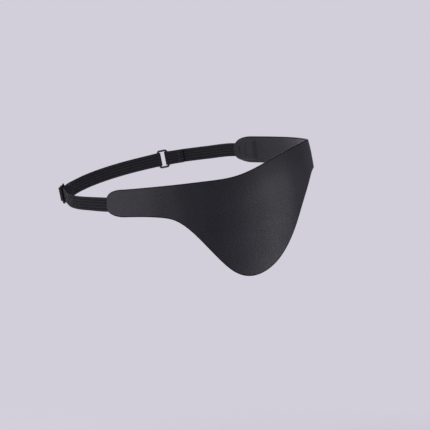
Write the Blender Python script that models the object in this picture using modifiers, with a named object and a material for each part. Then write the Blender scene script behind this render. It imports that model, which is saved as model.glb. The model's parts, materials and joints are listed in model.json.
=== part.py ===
"""Leather eye patch for the wearer's right eye, in the shape it takes when worn.

Frame: origin at the middle of the head loop, level with the pupils. +Z is up, the wearer faces -Y, so the
wearer's right side is -X. The leather follows a head form that is an upright elliptic cylinder, closing in above
the brows. The elastic lies in one tilted plane round the back of the head. In that plane a place is given by its
angle from the back of the head (positive towards the wearer's right) and its level above the scalp.
All sizes are in metres and all angles in degrees.
"""

import math

import bmesh
import bpy
import numpy as np
from mathutils import Matrix, Vector

# Head form, measured on the outer face of the leather
HEAD_HALF_WIDTH = 0.076
HEAD_HALF_DEPTH = 0.097
BROW_LEVEL = 0.015  # the form starts to close in above this height
CROWN_HEIGHT = 0.141  # and would close fully this far above it

# Leather pattern: distance along the form from the line of the nose (positive to the wearer's right), and height
TOP_EDGE = [
    (-0.134, 0.0500), (-0.090, 0.0495), (-0.040, 0.0478), (-0.020, 0.0467), (0.000, 0.0429), (0.020, 0.0361),
    (0.040, 0.0269), (0.050, 0.0231), (0.070, 0.0194), (0.100, 0.0159), (0.134, 0.0129),
]  # fmt: skip
BOTTOM_EDGE = [
    (-0.134, 0.0305), (-0.090, 0.0300), (-0.040, 0.0278), (-0.025, 0.0246), (-0.017, 0.0186), (-0.009, 0.0076),
    (0.008, -0.0216), (0.020, -0.0360), (0.032, -0.0439), (0.042, -0.0458), (0.052, -0.0426), (0.063, -0.0334),
    (0.079, -0.0175), (0.092, -0.0085), (0.104, -0.0062), (0.134, -0.0064),
]  # fmt: skip
TAB_START = 0.134  # where each arm's rounded end begins
TAB_LENGTH = 0.0165
TAB_POWER = 3.0  # 2 is an ellipse, more is squarer
TAB_TIP_ANGLE = 84.0  # the rounded end is cut square from here on
RIGHT_SEAM_DROP = 0.0012  # the long elastic is sewn this far below the right tab's middle
PANEL_COLUMNS = 66
PANEL_ROWS = 12

LEATHER_T = 0.0013
LINING_T = 0.0007
GLUE_GAP = 0.0003
LINING_INSET = 0.0007  # the lining is trimmed back from the leather's edge
PANEL_BEVEL = 0.00025

# Elastic
ELASTIC_W = 0.010
ELASTIC_T = 0.0009
LAYER_GAP = 0.00025
POCKET_DEPTH_ALONG = 0.017  # how far the elastic's end reaches into the tab
POCKET_RAMP = 0.006
POCKET_HALF_WIDTH = ELASTIC_W / 2 + 0.0008
POCKET_SIDE_RAMP = 0.0026

# Loop plane round the back of the head
LOOP_CENTRE = Vector((0.0, 0.022, 0.0208))
LOOP_TILT = (0.256, -0.050)  # rise of the plane per metre along +X and +Y
SCALP_RADIUS = HEAD_HALF_WIDTH - LEATHER_T - LINING_T - ELASTIC_T - 2 * GLUE_GAP
JOIN_ANGLE = 20.0  # the elastic leaves the plane this far before each tab
SLIDER_ANGLE = 30.0
KEEPER_RUN = 0.059  # from the left tab to the ring's middle, round the head

# Slider: a flat plate with a middle bar and two slots
SLIDER_T = 0.0012
SLIDER_EDGE = 0.00035
SLIDER_BAR_W = 0.0016  # middle bar
SLIDER_SLOT = 0.0034
SLIDER_END_BAR_W = 0.0020
SLIDER_RAIL = 0.0014
SLIDER_SIDE_GAP = 0.0004
SLIDER_CORNER = 0.0022
SLIDER_FOLD = 0.0125  # from the middle bar to the sewn end

# Ring: a rectangle of round wire
RING_WIRE = 0.0016
RING_SPAN = 0.0066  # between the two bars' centres
RING_SIDE_GAP = 0.0005
RING_CORNER = 0.0014
KEEPER_FOLD = 0.012
LIFT_RADIUS = 0.003  # bend of an elastic where it lifts off the layer below
KEEPER_SEWN = 0.006  # length of the fold's end that lies flat under its tack

BELT_STEP = 0.005  # length of one step along the elastic on the head

# Bar tacks
TACK_L = 0.008
TACK_W = 0.0016
TACK_T = 0.0004
TACK_GAP = 0.00015
TACK_PLACES = (0.139, 0.145)  # along the form, on both tabs

BLACK = (0.012, 0.012, 0.014, 1.0)
CHARCOAL = (0.020, 0.020, 0.023, 1.0)

# Levels above the scalp, from the clearances above
LAYER = ELASTIC_T + LAYER_GAP
LEVEL = [ELASTIC_T / 2 + LAYER * k for k in range(3)]
SLIDER_LEVEL = LEVEL[2] + ELASTIC_T / 2 + LAYER_GAP + SLIDER_T / 2
BAR_REACH = SLIDER_T / 2 + LAYER_GAP + ELASTIC_T / 2  # bar's round edge to the middle of the elastic on it
BAR_OFFSET = SLIDER_BAR_W / 2 - SLIDER_T / 2
END_BAR_OFFSET = SLIDER_BAR_W / 2 + SLIDER_SLOT + SLIDER_T / 2
RING_REACH = RING_WIRE / 2 + LAYER_GAP + ELASTIC_T / 2
RING_LEVEL = LEVEL[0] + RING_REACH

# Axes of the loop plane: towards the back, towards the wearer's right, and out of the plane
LOOP_N = Vector((-LOOP_TILT[0], -LOOP_TILT[1], 1.0)).normalized()
LOOP_RIGHT = (Vector((-1, 0, 0)) - LOOP_N * Vector((-1, 0, 0)).dot(LOOP_N)).normalized()
LOOP_BACK = LOOP_RIGHT.cross(LOOP_N).normalized()


def clear_scene():
    for obj in list(bpy.data.objects):
        bpy.data.objects.remove(obj, do_unlink=True)


def smoothstep(x):
    x = min(max(x, 0.0), 1.0)
    return x * x * (3 - 2 * x)


def natural_spline(points):
    """Return f(x) of the natural cubic spline through the points."""
    x, y = np.array(points).T
    n, h = len(x), np.diff(x)
    a, b = np.eye(n), np.zeros(n)
    for i in range(1, n - 1):
        a[i, i - 1 : i + 2] = h[i - 1], 2 * (h[i - 1] + h[i]), h[i]
        b[i] = 6 * ((y[i + 1] - y[i]) / h[i] - (y[i] - y[i - 1]) / h[i - 1])
    m = np.linalg.solve(a, b)

    def value(t):
        i = int(np.clip(np.searchsorted(x, t) - 1, 0, n - 2))
        p, q, w = x[i + 1] - t, t - x[i], h[i]
        cubic = (m[i] * p**3 + m[i + 1] * q**3) / (6 * w)
        return float(cubic + (y[i] / w - m[i] * w / 6) * p + (y[i + 1] / w - m[i + 1] * w / 6) * q)

    return value


# The head form --------------------------------------------------------------------------------------------------

TURN = np.linspace(0, math.pi, 1441)
STEP = np.hypot(HEAD_HALF_WIDTH * np.cos(TURN), HEAD_HALF_DEPTH * np.sin(TURN))
GIRTH = np.concatenate([[0], np.cumsum((STEP[1:] + STEP[:-1]) / 2 * np.diff(TURN))])


def on_form(along, height, depth=0.0):
    """Point on the head form, and that far inside it."""
    turn = math.copysign(np.interp(abs(along), GIRTH, TURN), along)
    over = max(height - BROW_LEVEL, 0.0) / CROWN_HEIGHT
    shrink, slope = 1 - over**2, -2 * over / CROWN_HEIGHT
    x = -HEAD_HALF_WIDTH * shrink * math.sin(turn)
    y = -HEAD_HALF_DEPTH * shrink * math.cos(turn)
    out = Vector((x / (HEAD_HALF_WIDTH * shrink) ** 2, y / (HEAD_HALF_DEPTH * shrink) ** 2, -slope / shrink))
    return Vector((x, y, height)) - out.normalized() * depth


top_edge, bottom_edge = natural_spline(TOP_EDGE), natural_spline(BOTTOM_EDGE)


def tab_centre(side):
    """Height of the middle of the elastic in a tab."""
    middle = (top_edge(side * TAB_START) + bottom_edge(side * TAB_START)) / 2
    return middle - RIGHT_SEAM_DROP if side > 0 else middle


def pattern_columns(inset):
    """Columns (along, low, high) of the pattern from the left tab's tip to the right tab's, trimmed by inset."""
    def body(along):
        return along, bottom_edge(along) + inset, top_edge(along) - inset

    def tab(side):
        _, low, high = body(side * TAB_START)
        columns = []
        for k in range(1, 9):
            a = math.radians(TAB_TIP_ANGLE * k / 8)
            reach = TAB_START + (TAB_LENGTH - inset) * math.sin(a)
            half = (high - low) / 2 * math.cos(a) ** (2 / TAB_POWER)
            columns.append((side * reach, (low + high) / 2 - half, (low + high) / 2 + half))
        return columns

    middle = [body(x) for x in np.linspace(-TAB_START, TAB_START, PANEL_COLUMNS + 1)]
    return tab(-1)[::-1] + middle + tab(1)


def pocket(along, height):
    """How far the lining is pushed in by the elastic's end, from 0 to 1."""
    side = math.copysign(1, along)
    start = TAB_START + TAB_LENGTH - POCKET_DEPTH_ALONG
    lengthways = smoothstep((abs(along) - (start - POCKET_RAMP)) / (POCKET_RAMP * 0.75))
    sideways = smoothstep(1 - (abs(height - tab_centre(side)) - POCKET_HALF_WIDTH) / POCKET_SIDE_RAMP)
    return lengthways * sideways


# The loop plane -------------------------------------------------------------------------------------------------


def on_loop(flat):
    """World point of a 2-D point in the loop plane: (towards the wearer's right, towards the back)."""
    return LOOP_CENTRE + LOOP_RIGHT * flat[0] + LOOP_BACK * flat[1]


def polar(angle, level):
    a, r = math.radians(angle), SCALP_RADIUS + level
    return Vector((r * math.sin(a), r * math.cos(a)))


def beside(angle, x, level):
    """2-D point seen from a flat piece at that angle: x along it, level above the scalp at its middle."""
    a = math.radians(angle)
    return polar(angle, level) + Vector((math.cos(a), -math.sin(a))) * x


def taut_line(first, second):
    """Heading and end points of the straight run between two stops of a belt."""
    (c1, r1), (c2, r2) = first, second
    d = c2 - c1
    lean = (r2 - r1) / d.length
    if abs(lean) > 1.0001:
        raise ValueError("two stops of a belt are too close together for its radii")
    heading = math.atan2(d.y, d.x) - math.asin(max(-1.0, min(1.0, lean)))
    left = Vector((-math.sin(heading), math.cos(heading)))
    return heading, c1 - left * r1, c2 - left * r2


def belt(stops, step=18.0):
    """2-D path of a taut belt. A stop is (centre, radius): radius > 0 if the belt goes round it leftwards,
    < 0 if rightwards, 0 for a plain point. Big circles are stepped by length."""
    headings = [taut_line(a, b)[0] for a, b in zip(stops, stops[1:])]
    path = []
    for k, (centre, radius) in enumerate(stops):
        first, last = headings[max(k - 1, 0)], headings[min(k, len(headings) - 1)]
        sweep = 0.0
        if radius:
            sweep = math.copysign((last - first) * math.copysign(1, radius) % (2 * math.pi), radius)
        n = max(1, math.ceil(abs(sweep) / min(math.radians(step), BELT_STEP / max(abs(radius), 1e-6))))
        for i in range(n + 1 if sweep else 1):
            t = first + sweep * i / n
            path.append(centre - Vector((-math.sin(t), math.cos(t))) * radius)
    return [p for i, p in enumerate(path) if i == 0 or (p - path[i - 1]).length > 1e-5]


SCALP = Vector((0.0, 0.0))


def tab_exit(side):
    """Where the middle of the elastic leaves a tab, its direction along the form and its width direction."""
    deep = LEATHER_T + GLUE_GAP + ELASTIC_T / 2
    along, height = side * (TAB_START + TAB_LENGTH), tab_centre(side)
    p, q = on_form(along, height, deep), on_form(along - side * 0.001, height, deep)
    up = (on_form(along, height + 0.001, deep) - on_form(along, height - 0.001, deep)).normalized()
    return p, (p - q).normalized(), up


def tab_angle(side):
    """Angle in the loop plane at which the elastic leaves a tab."""
    flat = tab_exit(side)[0] - LOOP_CENTRE
    return math.degrees(math.atan2(flat.dot(LOOP_RIGHT), flat.dot(LOOP_BACK)))


def join_angle(side):
    """Angle at which the elastic has turned into the loop plane."""
    return tab_angle(side) - side * JOIN_ANGLE


def ring_angle():
    return along_angle(tab_angle(-1), KEEPER_RUN)


def tab_run(side):
    """Frames (point, width direction) from inside a tab to where the elastic joins the loop plane."""
    deep, height = LEATHER_T + GLUE_GAP + ELASTIC_T / 2, tab_centre(side)
    end = TAB_START + TAB_LENGTH
    frames = []
    for along in np.linspace(end - POCKET_DEPTH_ALONG, end, 6):
        up = on_form(side * along, height + 0.001, deep) - on_form(side * along, height - 0.001, deep)
        frames.append((on_form(side * along, height, deep), up.normalized()))
    p0, t0, w0 = tab_exit(side)
    angle = join_angle(side)
    p1 = on_loop(polar(angle, LEVEL[0]))
    a = math.radians(angle)
    t1 = (LOOP_RIGHT * -math.cos(a) + LOOP_BACK * math.sin(a)) * side
    reach = (p1 - p0).length
    for k in range(1, 9):
        s = k / 8
        h00, h10 = 2 * s**3 - 3 * s**2 + 1, s**3 - 2 * s**2 + s
        h01, h11 = -2 * s**3 + 3 * s**2, s**3 - s**2
        p = p0 * h00 + t0 * reach * h10 + p1 * h01 + t1 * reach * h11
        along = t0.lerp(t1, s).normalized()
        w = w0.lerp(LOOP_N, smoothstep(s))
        frames.append((p, (w - along * w.dot(along)).normalized()))
    return frames


def bar_centres(angle):
    """2-D centres of the slider's bar edges: right end bar, middle bar right and left, left end bar."""
    places = (END_BAR_OFFSET, BAR_OFFSET, -BAR_OFFSET, -END_BAR_OFFSET)
    return [beside(angle, x, SLIDER_LEVEL) for x in places]


def ring_bar(side):
    """2-D centre of a ring bar: +1 is the slider's side, -1 the keeper's side."""
    sink = math.hypot(SCALP_RADIUS + RING_LEVEL, RING_SPAN / 2) - (SCALP_RADIUS + RING_LEVEL)
    return beside(ring_angle(), side * RING_SPAN / 2, RING_LEVEL - sink)


def along_angle(angle, distance):
    return angle + math.degrees(distance / SCALP_RADIUS)


def strap_stops():
    """The long elastic: over the slider, to the ring, back to the slider's middle bar, and folded under it."""
    right, middle_r, middle_l, left = bar_centres(SLIDER_ANGLE)
    fold_end = along_angle(SLIDER_ANGLE, -SLIDER_FOLD)
    scalp = SCALP_RADIUS
    return [
        (polar(join_angle(1), LEVEL[0]), 0),
        (SCALP, scalp + LEVEL[0]),
        (right, -BAR_REACH),
        (middle_r, BAR_REACH + LAYER),
        (middle_l, BAR_REACH + LAYER),
        (left, -BAR_REACH),
        (SCALP, scalp + LEVEL[2]),
        (polar(fold_end, LEVEL[1]), LAYER),
        (SCALP, scalp + LEVEL[1]),
        (ring_bar(1), RING_REACH),
        (SCALP, -(scalp + LEVEL[0])),
        (beside(SLIDER_ANGLE, -END_BAR_OFFSET + 0.0006, LEVEL[0] + LIFT_RADIUS), LIFT_RADIUS),
        (middle_r, BAR_REACH),
        (middle_l, BAR_REACH),
        (left, -(BAR_REACH + LAYER)),
        (SCALP, scalp + LEVEL[1]),
        (polar(fold_end, LEVEL[1]), 0),
    ]


def keeper_stops():
    """The short elastic: from the left tab, over the ring's far bar, and folded back against the head."""
    fold_end = along_angle(ring_angle(), -KEEPER_FOLD - RING_SPAN / 2)
    return [
        (polar(join_angle(-1), LEVEL[0]), 0),
        (SCALP, -(SCALP_RADIUS + LEVEL[0])),
        (polar(fold_end, LEVEL[0]), -LAYER),
        (polar(along_angle(fold_end, KEEPER_SEWN), LEVEL[1] + LIFT_RADIUS), LIFT_RADIUS),
        (ring_bar(-1), -RING_REACH),
        (SCALP, SCALP_RADIUS + LEVEL[0]),
        (polar(fold_end, LEVEL[0]), 0),
    ]


# Modelling ------------------------------------------------------------------------------------------------------


def material(name, colour, roughness, metallic=0.0):
    mat = bpy.data.materials.new(name)
    mat.use_nodes = True
    shader = mat.node_tree.nodes["Principled BSDF"]
    shader.inputs["Base Color"].default_value = colour
    shader.inputs["Roughness"].default_value = roughness
    shader.inputs["Metallic"].default_value = metallic
    mat.diffuse_color = colour
    return mat


def add_object(name, data, mat, matrix=None, parent=None):
    obj = bpy.data.objects.new(name, data)
    bpy.data.collections["eye_patch"].objects.link(obj)
    if mat:
        obj.data.materials.append(mat)
    if matrix is not None:
        obj.matrix_world = matrix
    if parent is not None:
        obj.parent = parent
        obj.matrix_parent_inverse = parent.matrix_world.inverted()
    return obj


def grid(columns, rows, place):
    """Mesh of a flat grid whose vertices are moved to place(column, part of the way across)."""
    bm = bmesh.new()
    bmesh.ops.create_grid(bm, x_segments=columns - 1, y_segments=rows, size=0.5)
    for v in bm.verts:
        v.co = place(round((v.co.x + 0.5) * (columns - 1)), v.co.y + 0.5)
    bmesh.ops.recalc_face_normals(bm, faces=bm.faces)
    mesh = bpy.data.meshes.new("sheet")
    bm.to_mesh(mesh)
    bm.free()
    return mesh


def thicken(obj, thickness, bevel=0.0):
    solid = obj.modifiers.new("Thickness", "SOLIDIFY")
    solid.thickness, solid.offset = thickness, 0.0
    solid.use_even_offset = True
    if bevel:
        edge = obj.modifiers.new("Edge", "BEVEL")
        edge.width, edge.segments = bevel, 1
        edge.limit_method, edge.angle_limit = "ANGLE", math.radians(55)


def panel(name, inset, thickness, depth, mat):
    columns = pattern_columns(inset)

    def place(k, part):
        along, low, high = columns[k]
        height = low + (high - low) * part
        return on_form(along, height, depth(along, height))

    obj = add_object(name, grid(len(columns), PANEL_ROWS, place), mat)
    thicken(obj, thickness, PANEL_BEVEL)


def leather_face(mat):
    panel("leather_face", 0.0, LEATHER_T, lambda along, height: LEATHER_T / 2, mat)


def lining(mat):
    shallow = LEATHER_T + GLUE_GAP + LINING_T / 2
    extra = ELASTIC_T + GLUE_GAP
    panel("lining", LINING_INSET, LINING_T, lambda along, height: shallow + extra * pocket(along, height), mat)


def elastic(name, side, stops, mat):
    frames = tab_run(side) + [(on_loop(p), LOOP_N) for p in belt(stops)[1:]]

    def place(k, part):
        point, width = frames[k]
        return point + width * ELASTIC_W * (part - 0.5)

    thicken(add_object(name, grid(len(frames), 1, place), mat), ELASTIC_T)


def flat_frame(angle, flat):
    """Matrix of a flat piece: x towards the wearer's right, y up, z out from the head."""
    a = math.radians(angle)
    x = LOOP_RIGHT * math.cos(a) - LOOP_BACK * math.sin(a)
    out = LOOP_RIGHT * math.sin(a) + LOOP_BACK * math.cos(a)
    turn = Matrix((x, LOOP_N, out)).transposed().to_4x4()
    return Matrix.Translation(on_loop(flat)) @ turn


def rounded_loop(curve, x, half_x, half_y, corner):
    """Add a closed rounded rectangle, centred at x, to a curve."""
    k = corner * (1 - 0.5523)
    corners = [(1, 1), (-1, 1), (-1, -1), (1, -1)]
    points = []
    for n, (sx, sy) in enumerate(corners):
        a = ((sx * half_x, sy * (half_y - corner)), (sx * half_x, sy * (half_y - k)))
        b = ((sx * (half_x - corner), sy * half_y), (sx * (half_x - k), sy * half_y))
        points += [a, b] if n % 2 == 0 else [b, a]
    spline = curve.splines.new("BEZIER")
    spline.bezier_points.add(7)
    spline.use_cyclic_u = True
    for n, (bp, (co, control)) in enumerate(zip(spline.bezier_points, points)):
        co, control = Vector((x + co[0], co[1], 0)), Vector((x + control[0], control[1], 0))
        bp.handle_left_type = bp.handle_right_type = "FREE"
        bp.co = bp.handle_left = bp.handle_right = co
        if n % 2 == 0:
            bp.handle_right = control
        else:
            bp.handle_left = control


def slider(mat, parent):
    curve = bpy.data.curves.new("slider", "CURVE")
    curve.dimensions, curve.fill_mode = "2D", "BOTH"
    curve.resolution_u, curve.bevel_resolution = 4, 1
    curve.bevel_depth, curve.offset = SLIDER_EDGE, -SLIDER_EDGE
    curve.extrude = SLIDER_T / 2 - SLIDER_EDGE
    half_slot = ELASTIC_W / 2 + SLIDER_SIDE_GAP
    half_length = SLIDER_BAR_W / 2 + SLIDER_SLOT + SLIDER_END_BAR_W
    rounded_loop(curve, 0, half_length, half_slot + SLIDER_RAIL, SLIDER_CORNER)
    for side in (1, -1):
        middle = side * (SLIDER_BAR_W + SLIDER_SLOT) / 2
        rounded_loop(curve, middle, SLIDER_SLOT / 2, half_slot, SLIDER_EDGE * 2)
    matrix = flat_frame(SLIDER_ANGLE, polar(SLIDER_ANGLE, SLIDER_LEVEL))
    add_object("slider", curve, mat, matrix, parent)


def ring(mat, parent):
    curve = bpy.data.curves.new("ring", "CURVE")
    curve.dimensions = "3D"
    curve.resolution_u, curve.bevel_resolution = 4, 2
    curve.bevel_depth = RING_WIRE / 2
    half_height = ELASTIC_W / 2 + RING_SIDE_GAP + RING_WIRE / 2
    rounded_loop(curve, 0, RING_SPAN / 2, half_height, RING_CORNER)
    middle = (ring_bar(1) + ring_bar(-1)) / 2
    add_object("ring", curve, mat, flat_frame(ring_angle(), middle), parent)


def bar_tack(name, matrix, mat, parent=None):
    """A short raised bar of stitches, long across the elastic."""
    bm = bmesh.new()
    bmesh.ops.create_cube(bm, size=1.0)
    bmesh.ops.scale(bm, vec=(TACK_W, TACK_L, TACK_T), verts=bm.verts)
    mesh = bpy.data.meshes.new(name)
    bm.to_mesh(mesh)
    bm.free()
    obj = add_object(name, mesh, mat, matrix, parent)
    edge = obj.modifiers.new("Edge", "BEVEL")
    edge.width, edge.segments = TACK_T * 0.4, 2


def tab_tacks(side, label, mat):
    """Two tacks on the inner face of the lining, over the end of the elastic."""
    deep = LEATHER_T + GLUE_GAP * 2 + ELASTIC_T + LINING_T + TACK_GAP + TACK_T / 2
    height = tab_centre(side)
    for n, along in enumerate(TACK_PLACES, 1):
        here = on_form(side * along, height, deep)
        out = (on_form(side * along, height, 0) - here).normalized()
        up = (on_form(side * along, height + 0.001, deep) - on_form(side * along, height - 0.001, deep)).normalized()
        turn = Matrix((up.cross(out), up, out)).transposed().to_4x4()
        bar_tack(f"{label}_tab_bar_tack_{n}", Matrix.Translation(here) @ turn, mat)


def fold_tacks(mat, slider_parent):
    """Tacks through the folded ends: the keeper's on its outer face, the long elastic's on its inner face."""
    stops = keeper_stops()
    heading, near, far = taut_line(stops[2], stops[3])
    out = Vector((-math.sin(heading), math.cos(heading)))
    place = near.lerp(far, 0.5) + out * (ELASTIC_T / 2 + TACK_GAP + TACK_T / 2)
    bar_tack("keeper_fold_bar_tack", flat_frame(math.degrees(math.atan2(out.x, out.y)), place), mat)
    under = along_angle(SLIDER_ANGLE, -SLIDER_FOLD + 0.003)
    place = polar(under, -(TACK_GAP + TACK_T / 2))
    bar_tack("slider_fold_bar_tack", flat_frame(under, place), mat, slider_parent)


def joint_empty(name, point):
    empty = bpy.data.objects.new(name, None)
    bpy.data.collections["eye_patch"].objects.link(empty)
    empty.empty_display_size = 0.01
    empty.location = point
    empty.rotation_mode = "QUATERNION"
    empty.rotation_quaternion = LOOP_N.to_track_quat("Z", "Y")
    bpy.context.view_layer.update()
    return empty


def build():
    clear_scene()
    collection = bpy.data.collections.new("eye_patch")
    bpy.context.scene.collection.children.link(collection)
    travel = joint_empty("slider_travel_axis", LOOP_CENTRE)
    swing = joint_empty("ring_swing_axis", on_loop(ring_bar(-1)))
    leather_face(material("leather_black", BLACK, 0.45))
    lining(material("lining_suede", CHARCOAL, 0.95))
    elastic("elastic_strap", 1, strap_stops(), material("elastic_weave", BLACK, 0.8))
    elastic("keeper_strap", -1, keeper_stops(), material("keeper_weave", BLACK, 0.8))
    slider(material("slider_plastic", BLACK, 0.35), travel)
    ring(material("ring_plastic", BLACK, 0.3), swing)
    tab_tacks(1, "right", material("right_thread", CHARCOAL, 0.6))
    tab_tacks(-1, "left", material("left_thread", CHARCOAL, 0.6))
    fold_tacks(material("fold_thread", CHARCOAL, 0.6), travel)


build()
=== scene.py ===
"""Looks of a leather eye patch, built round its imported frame. Sizes are in metres and angles in degrees.

+Z is up and the wearer faces -Y, so the wearer's right side is -X. A place on the leather is given as (along, height):
the distance round the head form from the line of the nose, positive to the wearer's right, and the height above the
pupils. A place on the elastic at the back is given in its tilted plane, as an angle from the back of the head,
positive towards the wearer's right, and a level above the scalp.
"""

import functools
import json
import math

import bmesh
import bpy
import numpy as np
from bpy.props import FloatProperty, FloatVectorProperty, IntProperty, PointerProperty
from mathutils import Matrix, Vector, kdtree


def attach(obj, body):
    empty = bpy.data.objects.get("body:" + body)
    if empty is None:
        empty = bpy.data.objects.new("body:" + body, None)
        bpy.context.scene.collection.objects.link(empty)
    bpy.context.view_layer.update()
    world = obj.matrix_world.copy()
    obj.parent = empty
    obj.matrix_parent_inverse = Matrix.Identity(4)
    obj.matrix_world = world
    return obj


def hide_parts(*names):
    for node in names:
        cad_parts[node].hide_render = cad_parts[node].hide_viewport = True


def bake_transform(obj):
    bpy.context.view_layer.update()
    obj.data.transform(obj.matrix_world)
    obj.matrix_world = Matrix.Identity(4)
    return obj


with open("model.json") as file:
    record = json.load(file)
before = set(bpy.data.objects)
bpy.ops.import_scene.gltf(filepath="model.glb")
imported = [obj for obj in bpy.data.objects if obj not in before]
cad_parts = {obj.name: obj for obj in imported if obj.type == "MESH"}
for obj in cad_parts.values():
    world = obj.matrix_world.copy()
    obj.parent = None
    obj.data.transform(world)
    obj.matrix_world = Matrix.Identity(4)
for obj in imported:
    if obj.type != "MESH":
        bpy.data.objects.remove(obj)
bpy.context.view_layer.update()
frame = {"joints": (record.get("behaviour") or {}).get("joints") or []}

bl_info = {
    "name": "Leather eye patch",
    "version": (1, 0, 0),
    "blender": (4, 5, 0),
    "location": "3D View > Sidebar > Eye Patch",
    "description": "Builds the leather, lining, elastic, slider, ring and stitches of an eye patch round its frame",
    "category": "Add Mesh",
}

TRAVEL = next(j for j in frame["joints"] if j["name"] == "slider_travel")

# Pattern of the leather: (along, height)
TOP_EDGE = [
    (-0.134, 0.0500), (-0.090, 0.0495), (-0.040, 0.0478), (-0.020, 0.0467), (0.000, 0.0429), (0.020, 0.0361),
    (0.040, 0.0269), (0.050, 0.0231), (0.070, 0.0194), (0.100, 0.0159), (0.134, 0.0129),
]
BOTTOM_EDGE = [
    (-0.134, 0.0305), (-0.090, 0.0300), (-0.040, 0.0278), (-0.025, 0.0246), (-0.017, 0.0186), (-0.009, 0.0076),
    (0.008, -0.0216), (0.020, -0.0360), (0.032, -0.0439), (0.042, -0.0458), (0.052, -0.0426), (0.063, -0.0334),
    (0.079, -0.0175), (0.092, -0.0085), (0.104, -0.0062), (0.134, -0.0064),
]
PROBE = 0.001  # short way along which a direction on the form is measured

# Waves of the leather: turns in radians per metre along and up, and where each starts
LONG_WAVE, CROSS_WAVE, SHORT_WAVE = (171, 97, 0.0), (67, -143, 1.3), (290, -60, 0.4)
WAVES_END, WAVES_FADE = 0.118, 0.03  # distance along at which they are gone, and over which they die out

# The lining over an elastic's end
POCKET_ROOM = 0.0008  # flat width beside the elastic
POCKET_RISE = 0.75  # share of the ramp in which the lining rises
LINING_EDGE = 0.0002  # rounding of its cut edge

# Fineness of the sheets
GIRTH_STEPS = 1440  # steps of half a turn round the form
PATTERN_STEPS, TAB_STEPS = 300, 26  # columns of the pattern between the tabs, and in each tab
PANEL_ROWS = 34  # rows between those of the edges
EDGE_ROWS = (0.0, 0.00005, 0.00016, 0.00032, 0.00052, 0.0008, 0.0012)  # distances from the edge of the edge's rows
OUTLINE_STEP = 0.00012  # distance between points of the outline
PAINT_REACH = 1.7  # width of the painted band, in edge roundings
WEAR_REACH = 0.0012  # distance from the edge over which wear dies out

# Fineness and fit of the elastics
POCKET_STEPS, JOIN_STEPS = 12, 26  # steps inside a tab, and from there to the loop's plane
BELT_TURN, BELT_STEP = 7.5, 0.0011  # largest turn in degrees, and longest step on a bend
STRAIGHT_STEP = BELT_STEP * 1.05  # longest step on a straight run
SHORTEST_STEP = 1e-5  # a step shorter than this is left out
RIB_STEPS = 8  # steps across each rib
ROUND_SIDE = 0.6  # how far the strip's sides are rounded, in thicknesses
SIDE_STEPS = (0.06, 0.2)  # extra steps in that rounding
SHARP_ANGLE = 50.0  # edges that turn more than this stay sharp
LIFT_GAP = 0.0006  # how far past the slider's end bar the inner elastic lifts off
TAB_MARGIN, SLIDER_MARGIN, RING_MARGIN = 5.0, 1.0, 6.0  # degrees from each at which a blend would start or end; the blend is handed to finish_piece, which does not use it
SAME_PLACE = 1e-6  # points nearer than this are one

# Numbers of the stops in strap_stops where the long elastic is cut, and of those in keeper_stops round its flat fold
SLIDER_FIRST, SLIDER_LAST, RING_SIDE, RING_TURNED, LOOP_START = 2, 5, 8, 10, 11
KEEPER_FLAT = slice(2, 4)

# Fineness and wear of the hardware
CURVE_STEPS, SLIDER_ROUND, RING_ROUND = 10, 3, 6  # steps along a corner, and round the edge or wire
CIRCLE_HANDLE = 0.5523  # length of a Bezier handle that makes a quarter circle, in radii
SLOT_CORNER = 2.0  # radius of a slot's corners, in edge roundings
FLAT_NORMAL = 0.999  # a face of the slider that faces out this squarely stays flat
RIM_WEAR, RIM_REACH = 0.3, 0.5  # depth at which the slider is rubbed most, and reach, in edge roundings
RING_WEAR = 0.35  # how far the ring's outer faces are rubbed

# One pass of a bar tack's zigzag: share of the pass, and height in thread radii
TACK_PASS = ((0, -0.9), (0.05, 0.2), (0.16, 0.85), (0.5, 1.0), (0.84, 0.85), (0.95, 0.2), (1, -0.9))


# Settings


def length(name, description, default):
    return FloatProperty(name=name, description=description, default=default, unit="LENGTH", precision=5)


def number(name, description, default):
    return FloatProperty(name=name, description=description, default=default)


def tint(name, description, default):
    return FloatVectorProperty(name=name, description=description, default=default, subtype="COLOR", min=0, max=1)


class EyePatchForm(bpy.types.PropertyGroup):
    """Head form under the leather, and the plane that the elastic lies in."""

    half_width: length("Half width", "Half the head form's width at the leather's outer face", 0.076)
    half_depth: length("Half depth", "Half the head form's depth at the leather's outer face", 0.097)
    brow_level: length("Brow level", "Height above which the form closes in", 0.015)
    crown_height: length("Crown height", "Height above the brow level at which the form would close", 0.141)
    ripple: length("Ripple", "Depth of the leather's shallow waves", 0.00012)
    loop_centre: FloatVectorProperty(
        name="Loop centre", description="Middle of the arc that the elastic follows", default=TRAVEL["pos_m"],
        subtype="TRANSLATION", unit="LENGTH",
    )
    loop_axis: FloatVectorProperty(
        name="Loop axis", description="Direction square to the elastic's plane", default=TRAVEL["axis"],
        subtype="DIRECTION",
    )


class EyePatchLeather(bpy.types.PropertyGroup):
    """The leather face and its lining."""

    thickness: length("Leather thickness", "Thickness of the leather", 0.0013)
    lining: length("Lining thickness", "Thickness of the lining", 0.0007)
    glue: length("Glue gap", "Gap between two layers that are glued", 0.0003)
    inset: length("Lining inset", "How far the lining is trimmed back from the leather's edge", 0.0007)
    edge: length("Edge rounding", "Radius of the leather's burnished edge", 0.00050)
    tab_start: length("Tab start", "Place along the form where each arm's rounded end begins", 0.134)
    tab_length: length("Tab length", "Length of each arm's rounded end", 0.0165)
    tab_power: number("Tab squareness", "2 is an ellipse, more is squarer", 3.0)
    tab_tip: number("Tab tip", "The rounded end is cut square from here on", 84.0)
    drop: length("Right seam drop", "How far below the right tab's middle the elastic is sewn", 0.0012)
    pocket_length: length("Pocket length", "How far the elastic's end reaches into a tab", 0.017)
    pocket_ramp: length("Pocket ramp", "Length over which the lining rises over the elastic's end", 0.006)
    pocket_side: length("Pocket side ramp", "Width over which the lining falls beside the elastic", 0.0026)


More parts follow.
